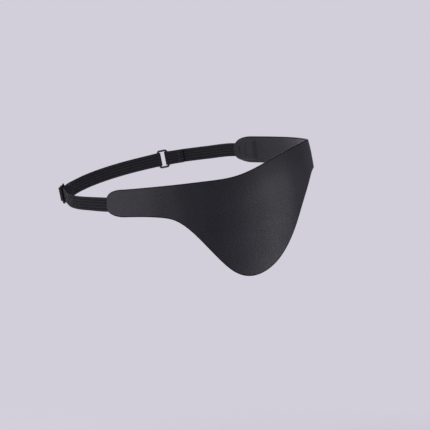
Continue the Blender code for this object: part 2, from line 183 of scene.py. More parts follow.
class EyePatchElastic(bpy.types.PropertyGroup):
    """The ribbed elastic."""

    width: length("Width", "Width of the elastic", 0.010)
    thickness: length("Thickness", "Thickness of the elastic over its ribs", 0.0009)
    gap: length("Layer gap", "Gap between two layers of elastic", 0.00025)
    ribs: IntProperty(name="Ribs", description="Number of ribs along the elastic", default=5, min=1)
    groove: length("Groove depth", "Depth of the grooves between the ribs", 0.00022)
    join: number("Join angle", "Angle between a tab and the plane of the elastic", 20.0)
    keeper_run: length("Keeper run", "Way round the head from the left tab to the ring", 0.059)
    keeper_fold: length("Keeper fold", "Length of the keeper strap's folded end", 0.012)
    keeper_sewn: length("Keeper sewn part", "Length of the fold that lies flat under its tack", 0.006)
    slider_fold: length("Slider fold", "Length of the elastic's end folded round the slider", 0.0125)
    lift: length("Lift radius", "Bend of an elastic where it lifts off the layer below", 0.003)


class EyePatchHardware(bpy.types.PropertyGroup):
    """The slider and the ring."""

    slider_angle: number("Slider angle", "Place of the slider round the head", 30.0)
    slider_thickness: length("Slider thickness", "Thickness of the slider's plate", 0.0012)
    slider_edge: length("Slider edge", "Rounding of the slider's edges", 0.00035)
    slider_bar: length("Middle bar", "Width of the slider's middle bar", 0.0016)
    slider_slot: length("Slot", "Length of each slot in the slider", 0.0034)
    slider_end: length("End bar", "Width of the slider's end bars", 0.0020)
    slider_rail: length("Rail", "Width of the slider's side rails", 0.0014)
    slider_side: length("Side gap", "Gap between the elastic's edge and the slider's rail", 0.0004)
    slider_corner: length("Corner", "Radius of the slider's corners", 0.0022)
    ring_wire: length("Ring wire", "Diameter of the ring's wire", 0.0016)
    ring_span: length("Ring span", "Distance between the ring's two bars", 0.0066)
    ring_side: length("Ring side gap", "Gap between the elastic's edge and the ring", 0.0005)
    ring_corner: length("Ring corner", "Radius of the ring's corners", 0.0014)


class EyePatchStitches(bpy.types.PropertyGroup):
    """The bar tacks."""

    length: length("Tack length", "Length of a bar tack across the elastic", 0.0080)
    width: length("Tack width", "Width of a bar tack", 0.0015)
    thread: length("Thread", "Diameter of the sewing thread", 0.00030)
    passes: IntProperty(name="Passes", description="Number of zigzags in a bar tack", default=17, min=4)
    first: length("First tab tack", "Place along the form of the first tack in a tab", 0.139)
    second: length("Second tab tack", "Place along the form of the second tack in a tab", 0.145)
    back: length("Tack from fold end", "Distance of a fold's tack from the fold's cut end", 0.003)


class EyePatchFinish(bpy.types.PropertyGroup):
    """Colours and the scale of the surfaces."""

    leather: tint("Leather", "Colour of the leather's grain side", (0.0124, 0.0118, 0.0174))
    edge: tint("Edge paint", "Colour of the leather's painted edge", (0.006, 0.006, 0.007))
    suede: tint("Lining", "Colour of the soft lining", (0.028, 0.028, 0.032))
    elastic: tint("Elastic", "Colour of the elastic", (0.0125, 0.0120, 0.0152))
    plastic: tint("Slider", "Colour of the moulded slider", (0.012, 0.012, 0.013))
    ring: tint("Ring", "Colour of the coated ring", (0.010, 0.010, 0.011))
    thread: tint("Thread", "Colour of the sewing thread", (0.020, 0.020, 0.023))
    grain: length("Grain size", "Width of one pebble of the leather's grain", 0.0013)
    stitch: length("Knit pitch", "Length of one knitted stitch of the elastic", 0.0007)


class EyePatchStage(bpy.types.PropertyGroup):
    """Camera, lights and floor."""

    azimuth: number("Azimuth", "Turn of the camera from the wearer's front", -52.0)
    elevation: number("Elevation", "Height of the camera above the level", 2.0)
    distance: length("Distance", "Distance of the camera", 1.6)
    lens: number("Lens", "Focal length in millimetres", 186.0)
    shift_right: length("Aim right", "How far right of the origin the camera aims", 0.01874)
    shift_down: length("Aim down", "How far below the origin the camera aims", 0.00684)
    floor_drop: length("Floor drop", "Depth of the floor below the pupils", 0.28)
    backdrop: tint("Backdrop", "Colour seen behind the object", (0.645, 0.624, 0.701))
    fill: number("Fill", "Strength of the light from all round", 0.16)


GROUPS = {
    "patch_form": EyePatchForm,
    "patch_leather": EyePatchLeather,
    "patch_elastic": EyePatchElastic,
    "patch_hardware": EyePatchHardware,
    "patch_stitches": EyePatchStitches,
    "patch_finish": EyePatchFinish,
    "patch_stage": EyePatchStage,
}


def setting(group):
    return getattr(bpy.context.scene, "patch_" + group)


# Places on the head form


def smoothstep(x):
    x = min(max(x, 0.0), 1.0)
    return x * x * (3 - 2 * x)


def natural_spline(points):
    """Return f(x) of the natural cubic spline through the points."""
    x, y = np.array(points).T
    n, h = len(x), np.diff(x)
    a, b = np.eye(n), np.zeros(n)
    for i in range(1, n - 1):
        a[i, i - 1 : i + 2] = h[i - 1], 2 * (h[i - 1] + h[i]), h[i]
        b[i] = 6 * ((y[i + 1] - y[i]) / h[i] - (y[i] - y[i - 1]) / h[i - 1])
    m = np.linalg.solve(a, b)

    def value(t):
        i = int(np.clip(np.searchsorted(x, t) - 1, 0, n - 2))
        p, q, w = x[i + 1] - t, t - x[i], h[i]
        cubic = (m[i] * p**3 + m[i + 1] * q**3) / (6 * w)
        return float(cubic + (y[i] / w - m[i] * w / 6) * p + (y[i + 1] / w - m[i + 1] * w / 6) * q)

    return value


top_edge, bottom_edge = natural_spline(TOP_EDGE), natural_spline(BOTTOM_EDGE)


@functools.cache
def girth(half_width, half_depth):
    """Turns round the form and the distance along it to each."""
    turn = np.linspace(0, math.pi, GIRTH_STEPS + 1)
    step = np.hypot(half_width * np.cos(turn), half_depth * np.sin(turn))
    return turn, np.concatenate([[0], np.cumsum((step[1:] + step[:-1]) / 2 * np.diff(turn))])


def ripple(along, height):
    """Shallow waves that real leather keeps, dying out towards the tabs."""

    def wave(across, up, start):
        return math.sin(along * across + height * up + start)

    fade = smoothstep((WAVES_END - abs(along)) / WAVES_FADE)
    return setting("form").ripple * fade * (wave(*LONG_WAVE) * wave(*CROSS_WAVE) + 0.5 * wave(*SHORT_WAVE))


def on_form(along, height, depth=0.0, waves=False):
    """Point on the head form, and that far inside it."""
    form = setting("form")
    turns, reached = girth(form.half_width, form.half_depth)
    turn = math.copysign(np.interp(abs(along), reached, turns), along)
    over = max(height - form.brow_level, 0.0) / form.crown_height
    shrink, slope = 1 - over**2, -2 * over / form.crown_height
    x = -form.half_width * shrink * math.sin(turn)
    y = -form.half_depth * shrink * math.cos(turn)
    across = x / (form.half_width * shrink) ** 2, y / (form.half_depth * shrink) ** 2
    out = Vector((*across, -slope / shrink)).normalized()
    return Vector((x, y, height)) - out * (depth - (ripple(along, height) if waves else 0.0))


def up_form(along, height, depth=0.0):
    """Direction up the form at a place."""
    return (on_form(along, height + PROBE, depth) - on_form(along, height - PROBE, depth)).normalized()


def tab_centre(side):
    """Height of the middle of the elastic in a tab."""
    leather = setting("leather")
    start = side * leather.tab_start
    middle = (top_edge(start) + bottom_edge(start)) / 2
    return middle - leather.drop if side > 0 else middle


def pattern_columns(inset):
    """Columns (along, low, high) of the pattern from the left tab's tip to the right tab's, trimmed by inset."""
    leather = setting("leather")

    def column(x, along, share=1.0):
        low, high = bottom_edge(x) + inset, top_edge(x) - inset
        half = (high - low) / 2 * share
        return along, (low + high) / 2 - half, (low + high) / 2 + half

    def tab(side):
        columns = []
        for k in range(1, TAB_STEPS + 1):
            a = math.radians(leather.tab_tip * k / TAB_STEPS)
            reach = leather.tab_start + (leather.tab_length - inset) * math.sin(a)
            columns.append(column(side * leather.tab_start, side * reach, math.cos(a) ** (2 / leather.tab_power)))
        return columns

    middle = [column(x, x) for x in np.linspace(-leather.tab_start, leather.tab_start, PATTERN_STEPS + 1)]
    return tab(-1)[::-1] + middle + tab(1)


def pocket(along, height):
    """How far the lining is pushed in by the elastic's end, from 0 to 1."""
    leather = setting("leather")
    start = leather.tab_start + leather.tab_length - leather.pocket_length
    half = setting("elastic").width / 2 + POCKET_ROOM
    lengthways = smoothstep((abs(along) - (start - leather.pocket_ramp)) / (leather.pocket_ramp * POCKET_RISE))
    off = abs(height - tab_centre(math.copysign(1, along))) - half
    return lengthways * smoothstep(1 - off / leather.pocket_side)


# Places in the elastic's plane


class Loop:
    """The elastic's plane, its levels and the paths of the two elastics in it."""

    def __init__(self):
        form, leather, elastic, parts = (setting(g) for g in ("form", "leather", "elastic", "hardware"))
        self.centre = Vector(form.loop_centre)
        self.out = Vector(form.loop_axis).normalized()
        left = Vector((-1, 0, 0))
        self.right = (left - self.out * left.dot(self.out)).normalized()
        self.back = self.right.cross(self.out).normalized()
        self.deep = leather.thickness + leather.glue + elastic.thickness / 2
        self.tab_end = leather.tab_start + leather.tab_length
        layers = leather.thickness + leather.lining + elastic.thickness + 2 * leather.glue
        self.scalp = form.half_width - layers
        self.layer = elastic.thickness + elastic.gap
        self.level = [elastic.thickness / 2 + self.layer * k for k in range(3)]
        half_plate = parts.slider_thickness / 2
        self.slider_level = self.level[2] + elastic.thickness / 2 + elastic.gap + half_plate
        self.bar_reach = half_plate + elastic.gap + elastic.thickness / 2
        self.bar_offset = parts.slider_bar / 2 - half_plate
        self.end_offset = parts.slider_bar / 2 + parts.slider_slot + half_plate
        self.ring_reach = parts.ring_wire / 2 + elastic.gap + elastic.thickness / 2
        self.ring_level = self.level[0] + self.ring_reach
        self.slider_angle = parts.slider_angle
        self.ring_angle = self.along(self.tab_angle(-1), elastic.keeper_run)

    def point(self, flat):
        return self.centre + self.right * flat[0] + self.back * flat[1]

    def polar(self, angle, level):
        a, r = math.radians(angle), self.scalp + level
        return Vector((r * math.sin(a), r * math.cos(a)))

    def beside(self, angle, x, level):
        """2-D point seen from a flat piece at that angle: x along it, level above the scalp at its middle."""
        a = math.radians(angle)
        return self.polar(angle, level) + Vector((math.cos(a), -math.sin(a))) * x

    def along(self, angle, distance):
        return angle + math.degrees(distance / self.scalp)

    def angle_of(self, flat):
        return math.degrees(math.atan2(flat[0], flat[1]))

    def tab_exit(self, side):
        """Where the middle of the elastic leaves a tab, its direction along the form and its width direction."""
        end, height = side * self.tab_end, tab_centre(side)
        p, q = on_form(end, height, self.deep), on_form(end - side * PROBE, height, self.deep)
        return p, (p - q).normalized(), up_form(end, height, self.deep)

    def tab_angle(self, side):
        flat = self.tab_exit(side)[0] - self.centre
        return self.angle_of((flat.dot(self.right), flat.dot(self.back)))

    def join_angle(self, side):
        return self.tab_angle(side) - side * setting("elastic").join

    def frame_at(self, angle, flat):
        """Matrix of a flat piece: x towards the wearer's right, y up, z out from the head."""
        a = math.radians(angle)
        x = self.right * math.cos(a) - self.back * math.sin(a)
        z = self.right * math.sin(a) + self.back * math.cos(a)
        return Matrix.Translation(self.point(flat)) @ Matrix((x, self.out, z)).transposed().to_4x4()

    def bars(self):
        places = (self.end_offset, self.bar_offset, -self.bar_offset, -self.end_offset)
        return [self.beside(self.slider_angle, x, self.slider_level) for x in places]

    def ring_bar(self, side):
        half, r = setting("hardware").ring_span / 2, self.scalp + self.ring_level
        return self.beside(self.ring_angle, side * half, self.ring_level - (math.hypot(r, half) - r))

    def strap_stops(self):
        """The long elastic: over the slider, to the ring, back to the slider's middle bar, and folded under it."""
        elastic, level, scalp = setting("elastic"), self.level, self.scalp
        right, middle_r, middle_l, left = self.bars()
        fold_end = self.along(self.slider_angle, -elastic.slider_fold)
        lift = self.beside(self.slider_angle, -self.end_offset + LIFT_GAP, level[0] + elastic.lift)
        none = Vector((0, 0))
        return [
            (self.polar(self.join_angle(1), level[0]), 0),
            (none, scalp + level[0]),
            (right, -self.bar_reach),
            (middle_r, self.bar_reach + self.layer),
            (middle_l, self.bar_reach + self.layer),
            (left, -self.bar_reach),
            (none, scalp + level[2]),
            (self.polar(fold_end, level[1]), self.layer),
            (none, scalp + level[1]),
            (self.ring_bar(1), self.ring_reach),
            (none, -(scalp + level[0])),
            (lift, elastic.lift),
            (middle_r, self.bar_reach),
            (middle_l, self.bar_reach),
            (left, -(self.bar_reach + self.layer)),
            (none, scalp + level[1]),
            (self.polar(fold_end, level[1]), 0),
        ]

    def keeper_fold_end(self):
        return self.along(self.ring_angle, -setting("elastic").keeper_fold - setting("hardware").ring_span / 2)

    def keeper_stops(self):
        """The short elastic: from the left tab, over the ring's far bar, and folded back against the head."""
        elastic, level, end = setting("elastic"), self.level, self.keeper_fold_end()
        none = Vector((0, 0))
        return [
            (self.polar(self.join_angle(-1), level[0]), 0),
            (none, -(self.scalp + level[0])),
            (self.polar(end, level[0]), -self.layer),
            (self.polar(self.along(end, elastic.keeper_sewn), level[1] + elastic.lift), elastic.lift),
            (self.ring_bar(-1), -self.ring_reach),
            (none, self.scalp + level[0]),
            (self.polar(end, level[0]), 0),
        ]

    def tab_run(self, side):
        """Frames (point, width direction) from inside a tab to where the elastic joins the loop's plane."""
        height, start = tab_centre(side), self.tab_end - setting("leather").pocket_length
        frames = [
            (on_form(side * at, height, self.deep), up_form(side * at, height, self.deep))
            for at in np.linspace(start, self.tab_end, POCKET_STEPS)
        ]
        p0, t0, w0 = self.tab_exit(side)
        angle = self.join_angle(side)
        p1, a = self.point(self.polar(angle, self.level[0])), math.radians(angle)
        t1 = (self.right * -math.cos(a) + self.back * math.sin(a)) * side
        reach = (p1 - p0).length
        for k in range(1, JOIN_STEPS + 1):
            s = k / JOIN_STEPS
            p = p0 * (2 * s**3 - 3 * s**2 + 1) + t0 * reach * (s**3 - 2 * s**2 + s)
            p += p1 * (3 * s**2 - 2 * s**3) + t1 * reach * (s**3 - s**2)
            heading, w = t0.lerp(t1, s).normalized(), w0.lerp(self.out, smoothstep(s))
            frames.append((p, (w - heading * w.dot(heading)).normalized()))
        return frames


def taut_line(first, second):
    """Heading and end points of the straight run between two stops of a belt."""
    (c1, r1), (c2, r2) = first, second
    d = c2 - c1
    heading = math.atan2(d.y, d.x) - math.asin(max(-1.0, min(1.0, (r2 - r1) / d.length)))
    left = Vector((-math.sin(heading), math.cos(heading)))
    return heading, c1 - left * r1, c2 - left * r2


def belt(stops):
    """2-D path of a taut belt, as (point, number of its stop). A stop is (centre, radius): radius > 0 if the belt
    goes round it leftwards, < 0 if rightwards, 0 for a plain point."""
    headings = [taut_line(a, b)[0] for a, b in zip(stops, stops[1:])]
    path = []
    for k, (centre, radius) in enumerate(stops):
        first, last = headings[max(k - 1, 0)], headings[min(k, len(headings) - 1)]
        sweep = 0.0
        if radius:
            sweep = math.copysign((last - first) * math.copysign(1, radius) % (2 * math.pi), radius)
        n = max(1, math.ceil(abs(sweep) / min(math.radians(BELT_TURN), BELT_STEP / max(abs(radius), SAME_PLACE))))
        for i in range(n + 1 if sweep else 1):
            t = first + sweep * i / n
            here = centre - Vector((-math.sin(t), math.cos(t))) * radius
            if path:
                before = path[-1][0]
                steps = math.ceil((here - before).length / STRAIGHT_STEP)
                path += [(before.lerp(here, j / steps), k - 0.5) for j in range(1, steps)]
            if not path or (here - path[-1][0]).length > SHORTEST_STEP:
                path.append((here, k))
    return path


# Mesh tools


def add_object(name, data):
    obj = bpy.data.objects.new(name, data)
    bpy.context.scene.collection.objects.link(obj)
    return obj


def to_mesh(name, bm):
    mesh = bpy.data.meshes.new(name)
    bm.to_mesh(mesh)
    bm.free()
    return mesh


def finish_piece(name, mesh, materials, stands_for, body=None, blend=None):
    """Make the object of a finished mesh, give it its materials, tie it to its body of the frame if it has one, and
    hide the parts it stands for. A piece given a blend is only baked in place; the blend itself is not used.
    """
    obj = add_object(name, mesh)
    for mat in materials:
        mesh.materials.append(mat)
    mesh.shade_smooth()
    if body:
        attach(obj, body)
    if blend:
        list(blend)
        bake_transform(obj)
    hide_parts(*stands_for)
    return obj


def sheet_mesh(name, columns, rows, place, uv):
    """Mesh of a flat grid whose vertices are moved to place(column, part of the way up), with uv(column, part)."""
    bm = bmesh.new()
    bmesh.ops.create_grid(bm, x_segments=columns - 1, y_segments=rows, size=0.5)
    layer = bm.loops.layers.uv.new("UVMap")
    for face in bm.faces:
        for loop in face.loops:
            co = loop.vert.co
            loop[layer].uv = uv(round((co.x + 0.5) * (columns - 1)), co.y + 0.5)
    for v in bm.verts:
        v.co = place(round((v.co.x + 0.5) * (columns - 1)), v.co.y + 0.5)
    bmesh.ops.recalc_face_normals(bm, faces=bm.faces)
    return to_mesh(name, bm)


def point_outwards(mesh):
    """Turn an open sheet's faces away from the head."""
    mesh.update()
    first = mesh.polygons[len(mesh.polygons) // 2]
    if first.normal.dot(first.center) < 0:
        mesh.flip_normals()


def rib_profile():
    """Cross-section of the elastic as a closed ring of (across, out): flat ribs with grooves between them."""
    elastic = setting("elastic")
    half_w, half_t = elastic.width / 2, elastic.thickness / 2
    pitch, round_part = elastic.width / elastic.ribs, elastic.thickness * ROUND_SIDE

    def rounded(share):
        return math.sqrt(1 - (1 - share) ** 2)

    def height(x):
        in_rib = abs(((x + half_w) / pitch) % 1.0 - 0.5) * 2
        edge_rib = abs(x) > half_w - pitch / 2
        return (half_t - (0.0 if edge_rib else in_rib**4 * elastic.groove)) * rounded(
            min((half_w - abs(x)) / round_part, 1.0)
        )

    count = elastic.ribs * RIB_STEPS
    ribs = [-half_w + elastic.width * i / count for i in range(1, count)]
    left = [(-half_w, 0.0)] + [(-half_w + round_part * share, half_t * rounded(share)) for share in SIDE_STEPS]
    top = left + [(x, height(x)) for x in ribs] + [(-x, h) for x, h in left[::-1]]
    return top + [(x, -h) for x, h in top[-2:0:-1]]


def strip_mesh(name, frames, ring, start):
    """A strip of the cross-section ring along frames (point, width, out), with capped ends, and the distance along
    at its end. Its UV map holds the distance along and across the strip. start is the distance at the first frame."""
    rows, around = len(frames), len(ring)
    run = [start]
    for a, b in zip(frames, frames[1:]):
        run.append(run[-1] + (b[0] - a[0]).length)
    bm = bmesh.new()
    bmesh.ops.create_grid(bm, x_segments=rows - 1, y_segments=around, size=0.5)
    layer = bm.loops.layers.uv.new("UVMap")

    def index(co):
        return round((co.x + 0.5) * (rows - 1)), round((co.y + 0.5) * around)

    for face in bm.faces:
        for loop in face.loops:
            k, j = index(loop.vert.co)
            loop[layer].uv = run[k], ring[j % around][0]
    for v in bm.verts:
        k, j = index(v.co)
        point, width, out = frames[k]
        across, rise = ring[j % around]
        v.co = point + width * across + out * rise
    bmesh.ops.remove_doubles(bm, verts=bm.verts, dist=SAME_PLACE)
    bmesh.ops.holes_fill(bm, edges=[e for e in bm.edges if e.is_boundary], sides=0)
    bmesh.ops.recalc_face_normals(bm, faces=bm.faces)
    mesh = to_mesh(name, bm)
    mesh.set_sharp_from_angle(angle=math.radians(SHARP_ANGLE))
    return mesh, run[-1]


def with_outs(frames, outward):
    """Add the direction out of the strip's face to frames (point, width), towards outward at the first one."""
    full = []
    for k, (point, width) in enumerate(frames):
        before, after = frames[max(k - 1, 0)][0], frames[min(k + 1, len(frames) - 1)][0]
        full.append((point, width, (after - before).normalized().cross(width).normalized()))
    if full[0][2].dot(outward) < 0:
        full = [(p, w, -o) for p, w, o in full]
    return full


def new_curve(name, **settings):
    curve = bpy.data.curves.new(name, "CURVE")
    for label, value in settings.items():
        setattr(curve, label, value)
    return curve


def curve_mesh(curve):
    """The closed mesh of a curve, with the curve taken away."""
    holder = add_object("holder", curve)
    bpy.context.view_layer.update()
    mesh = bpy.data.meshes.new_from_object(holder.evaluated_get(bpy.context.evaluated_depsgraph_get()))
    bpy.data.objects.remove(holder)
    bpy.data.curves.remove(curve)
    bm = bmesh.new()
    bm.from_mesh(mesh)
    bmesh.ops.remove_doubles(bm, verts=bm.verts, dist=SAME_PLACE)
    bmesh.ops.recalc_face_normals(bm, faces=bm.faces)
    bm.to_mesh(mesh)
    bm.free()
    return mesh


def rounded_loop(curve, x, half_x, half_y, corner):
    """Add a closed rounded rectangle, centred at x, to a curve."""
    k = corner * (1 - CIRCLE_HANDLE)
    points = []
    for n, (sx, sy) in enumerate([(1, 1), (-1, 1), (-1, -1), (1, -1)]):
        a = ((sx * half_x, sy * (half_y - corner)), (sx * half_x, sy * (half_y - k)))
        b = ((sx * (half_x - corner), sy * half_y), (sx * (half_x - k), sy * half_y))
        points += [a, b] if n % 2 == 0 else [b, a]
    spline = curve.splines.new("BEZIER")
    spline.bezier_points.add(7)
    spline.use_cyclic_u = True
    for n, (bp, (co, control)) in enumerate(zip(spline.bezier_points, points)):
        co, control = Vector((x + co[0], co[1], 0)), Vector((x + control[0], control[1], 0))
        bp.handle_left_type = bp.handle_right_type = "FREE"
        bp.co = bp.handle_left = bp.handle_right = co
        if n % 2 == 0:
            bp.handle_right = control
        else:
            bp.handle_left = control


# Surfaces


class Shading:
    """Short calls that build a node tree."""

    def __init__(self, tree, material=None):
        self.tree, self.material = tree, material

    def feed(self, sockets, values):
        """Set each socket to its value, or link it where the value comes from another node."""
        for name, value in values.items():
            if isinstance(value, bpy.types.NodeSocket):
                self.tree.links.new(value, sockets[name])
            else:
                sockets[name].default_value = value

    def node(self, kind, inputs=None, **settings):
        made = self.tree.nodes.new("ShaderNode" + kind)
        for name, value in settings.items():
            setattr(made, name, value)
        self.feed(made.inputs, inputs or {})
        return made

    def maths(self, operation, *values, clamp=False):
        return self.node("Math", dict(enumerate(values)), operation=operation, use_clamp=clamp).outputs[0]

    def times(self, a, b):
        return self.maths("MULTIPLY", a, b)

    def plus(self, a, b):
        return self.maths("ADD", a, b)

    def minus(self, a, b):
        return self.maths("SUBTRACT", a, b)

    def times_plus(self, a, b, c):
        return self.maths("MULTIPLY_ADD", a, b, c)

    def vector(self, operation, inputs, output=0):
        return self.node("VectorMath", inputs, operation=operation).outputs[output]

    def ranged(self, value, low, high, to_low=0.0, to_high=1.0, smooth=True):
        """value, from low..high to to_low..to_high, held at the ends."""
        limits = {"Value": value, "From Min": low, "From Max": high, "To Min": to_low, "To Max": to_high}
        kind = "SMOOTHSTEP" if smooth else "LINEAR"
        return self.node("MapRange", limits, interpolation_type=kind).outputs["Result"]

    def noise(self, vector, scale, detail=3.0, roughness=0.5, plane=False):
        kind = "2D" if plane else "3D"
        sizes = {"Vector": vector, "Scale": scale, "Detail": detail, "Roughness": roughness}
        return self.node("TexNoise", sizes, noise_dimensions=kind).outputs["Fac"]

    def uv(self):
        return self.node("UVMap", uv_map="UVMap").outputs["UV"]

    def place(self):
        return self.node("TexCoord").outputs["Object"]

    def group(self, tree, **inputs):
        return self.node("Group", inputs, node_tree=tree).outputs

    def mottle(self, place, scale, amount):
        """Uneven value round 1."""
        return self.group(mottle_group(), Vector=place, Scale=scale, Amount=amount)["Value"]

    def rub(self, place, scale):
        """Mask of the edges that handling rubs."""
        edge = self.node("Attribute", attribute_name="edge").outputs["Fac"]
        return self.group(rub_group(), Edge=edge, Vector=place, Scale=scale)["Mask"]

    def shaded(self, colour, value, low=0.55, high=1.5):
        """colour, darker where value is below 1 and lighter above."""
        darkest, lightest = ((*(min(c * factor, 1.0) for c in colour), 1.0) for factor in (low, high))
        factor = self.ranged(value, low, high, smooth=False)
        return self.node("Mix", {0: factor, 6: darkest, 7: lightest}, data_type="RGBA").outputs[2]

    def finish(self, colour, gloss, height, distance, strength=1.0):
        """Feed the shader its colour, roughness and bumps, and return the material."""
        bump = self.node("Bump", {"Height": height, "Distance": distance, "Strength": strength}).outputs["Normal"]
        shader = self.tree.nodes["Principled BSDF"]
        self.feed(shader.inputs, {"Base Color": colour, "Roughness": gloss, "Normal": bump})
        return self.material


def new_material(name, colour, **shader_values):
    """Shading of a new material, whose even values are set on its shader."""
    mat = bpy.data.materials.new(name)
    mat.use_nodes = True
    mat.diffuse_color = (*colour, 1.0)
    s = Shading(mat.node_tree, mat)
    s.feed(
        mat.node_tree.nodes["Principled BSDF"].inputs,
        {label.replace("_", " "): value for label, value in shader_values.items()},
    )
    return s


def new_group(name, inputs, outputs):
    """A new node group: its shading, the outputs of its input node and the inputs of its output node."""
    tree = bpy.data.node_groups.new(name, "ShaderNodeTree")
    for label, kind, default in inputs:
        socket = tree.interface.new_socket(label, in_out="INPUT", socket_type="NodeSocket" + kind)
        if default is not None:
            socket.default_value = default
    for label in outputs:
        tree.interface.new_socket(label, in_out="OUTPUT", socket_type="NodeSocketFloat")
    return Shading(tree), tree.nodes.new("NodeGroupInput").outputs, tree.nodes.new("NodeGroupOutput").inputs


def made_once(store, name):
    """Decorator: find the material or node group by name, and build it only if it isn't there yet."""
    return lambda build: lambda: getattr(bpy.data, store).get(name) or build(name)


@made_once("node_groups", "mottle")
def mottle_group(name):
    """Uneven value round 1, in large soft patches with finer specks."""
    s, given, out = new_group(
        name, [("Vector", "Vector", None), ("Scale", "Float", 60.0), ("Amount", "Float", 0.1)], ["Value"]
    )
    soft = s.noise(given["Vector"], given["Scale"], detail=4.0)
    speck = s.noise(given["Vector"], s.times(given["Scale"], 14.0), detail=2.0)
    centred = s.minus(s.plus(s.times(soft, 1.5), s.times(speck, 0.5)), 1.0)
    s.feed(out, {"Value": s.times_plus(centred, s.times(given["Amount"], 2.0), 1.0)})
    return s.tree


@made_once("node_groups", "pebbles")
def pebble_group(name):
    """Leather pebbles: rounded cells with creases between them."""
    s, given, out = new_group(name, [("Vector", "Vector", None), ("Size", "Float", 0.001)], ["Height", "Crease"])
    frequency = s.maths("DIVIDE", 1.0, given["Size"])
    bend = s.node("TexNoise", {"Vector": given["Vector"], "Scale": s.times(frequency, 0.6)}).outputs["Color"]
    shift = s.vector("SUBTRACT", {0: bend, 1: (0.5, 0.5, 0.5)})
    shift = s.vector("SCALE", {0: shift, "Scale": s.times(given["Size"], 0.7)})
    at = s.vector("ADD", {0: given["Vector"], 1: shift})

    def cells(scale, randomness):
        return s.node(
            "TexVoronoi", {"Vector": at, "Scale": scale, "Randomness": randomness},
            feature="DISTANCE_TO_EDGE", voronoi_dimensions="2D",
        ).outputs["Distance"]

    large, small = cells(frequency, 0.9), cells(s.times(frequency, 2.3), 1.0)
    height = s.plus(s.times(s.ranged(large, 0.0, 0.28), 0.75), s.times(s.ranged(small, 0.0, 0.2), 0.25))
    crease = s.maths("SUBTRACT", 1.0, s.ranged(large, 0.0, 0.13), clamp=True)
    s.feed(out, {"Height": height, "Crease": crease})
    return s.tree


@made_once("node_groups", "rub")
def rub_group(name):
    """Mask of edges rubbed by handling, broken up by specks."""
    s, given, out = new_group(
        name, [("Edge", "Float", 0.0), ("Vector", "Vector", None), ("Scale", "Float", 900.0)], ["Mask"]
    )
    broken = s.noise(given["Vector"], given["Scale"], detail=5.0, roughness=0.65)
    worn = s.plus(given["Edge"], s.times(s.minus(broken, 0.5), 1.6))
    s.feed(out, {"Mask": s.ranged(worn, 0.55, 1.15)})
    return s.tree


def leather_finish():
    finish = setting("finish")
    s = new_material("black_leather", finish.leather, Sheen_Weight=0.06, Sheen_Roughness=0.5)
    uv, place = s.uv(), s.place()
    pebbles = s.group(pebble_group(), Vector=uv, Size=finish.grain)
    pores = s.noise(uv, 4200.0, detail=2.0, plane=True)
    tone, rub = s.mottle(place, 38.0, 0.14), s.rub(place, 1100.0)
    # Painted shade: the colour is darker in the pebbles' creases. The lighter rubbed edges below are wear.
    value = s.times(tone, s.ranged(pebbles["Crease"], 0.0, 1.0, 1.05, 0.62))
    value = s.times_plus(rub, 0.35, value)
    gloss = s.times_plus(pebbles["Crease"], 0.22, s.times(tone, 0.43))
    gloss = s.minus(s.times_plus(pores, 0.08, gloss), s.times(rub, 0.06))
    height = s.times_plus(pores, 0.22, pebbles["Height"])
    return s.finish(s.shaded(finish.leather, value, 0.5, 1.6), gloss, height, 0.000048)


def edge_finish():
    colour = setting("finish").edge
    s = new_material("edge_paint", colour, Specular_IOR_Level=0.2)
    place = s.place()
    tone = s.mottle(place, 160.0, 0.2)
    return s.finish(s.shaded(colour, tone), s.times(tone, 0.55), s.noise(place, 1500.0, detail=2.0), 0.00004)


def suede_finish():
    colour = setting("finish").suede
    s = new_material("suede_lining", colour, Sheen_Weight=0.35, Sheen_Roughness=0.45)
    place, uv = s.place(), s.uv()
    brushed = s.node("Mapping", {"Vector": uv, "Scale": (2400.0, 1500.0, 1.0)}).outputs[0]
    nap = s.noise(brushed, 1.0, detail=3.0, roughness=0.75, plane=True)
    tufts = s.noise(uv, 700.0, detail=3.0, plane=True)
    value = s.times(s.mottle(place, 70.0, 0.22), s.ranged(nap, 0.25, 0.75, 0.8, 1.2))
    gloss = s.ranged(tufts, 0.3, 0.7, 0.88, 1.0)
    return s.finish(s.shaded(colour, value, 0.5, 1.6), gloss, s.times_plus(tufts, 0.8, nap), 0.00012, 0.8)


@made_once("materials", "ribbed_elastic")
def elastic_finish(name):
    """Knitted ribs: chevrons of stitches along each rib, with painted shade between the stitches and in the groove
    between ribs.
    """
    finish, elastic = setting("finish"), setting("elastic")
    s = new_material(name, finish.elastic, Specular_IOR_Level=0.35)
    uv, place = s.uv(), s.place()
    parts = s.node("SeparateXYZ", {0: uv}).outputs
    pitch = elastic.width / elastic.ribs
    # The middle of the strip is the middle of a rib if their number is odd, and a groove if it is even
    rib = s.maths("FRACT", s.times_plus(parts["Y"], 1 / pitch, 10.5 if elastic.ribs % 2 else 10.0))
    off = s.times(s.maths("ABSOLUTE", s.minus(rib, 0.5)), 2.0)
    slant = s.times(off, 0.45 * pitch / finish.stitch)
    wobble = s.times(s.noise(uv, 500.0, detail=1.0, plane=True), 0.35)
    phase = s.times_plus(parts["X"], 1 / finish.stitch, s.plus(slant, wobble))
    stitch = s.times_plus(s.maths("SINE", s.times(phase, 2 * math.pi)), 0.5, 0.5)
    groove = s.ranged(off, 0.5, 0.9)
    fuzz = s.noise(place, 5200.0, detail=2.0)
    # Painted shade: the colour is darker between the knitted stitches and lighter on their tops, and much darker in
    # the grooves between ribs.
    value = s.times(s.mottle(place, 90.0, 0.12), s.ranged(stitch, 0.0, 1.0, 0.85, 1.12, smooth=False))
    value = s.times(value, s.ranged(groove, 0.0, 1.0, 1.15, 0.42, smooth=False))
    gloss = s.times_plus(groove, 0.2, s.ranged(stitch, 0.0, 1.0, 0.8, 0.7))
    height = s.times_plus(fuzz, 0.35, s.minus(stitch, s.times(groove, 0.7)))
    return s.finish(s.shaded(finish.elastic, value, 0.25, 1.5), gloss, height, 0.00005)


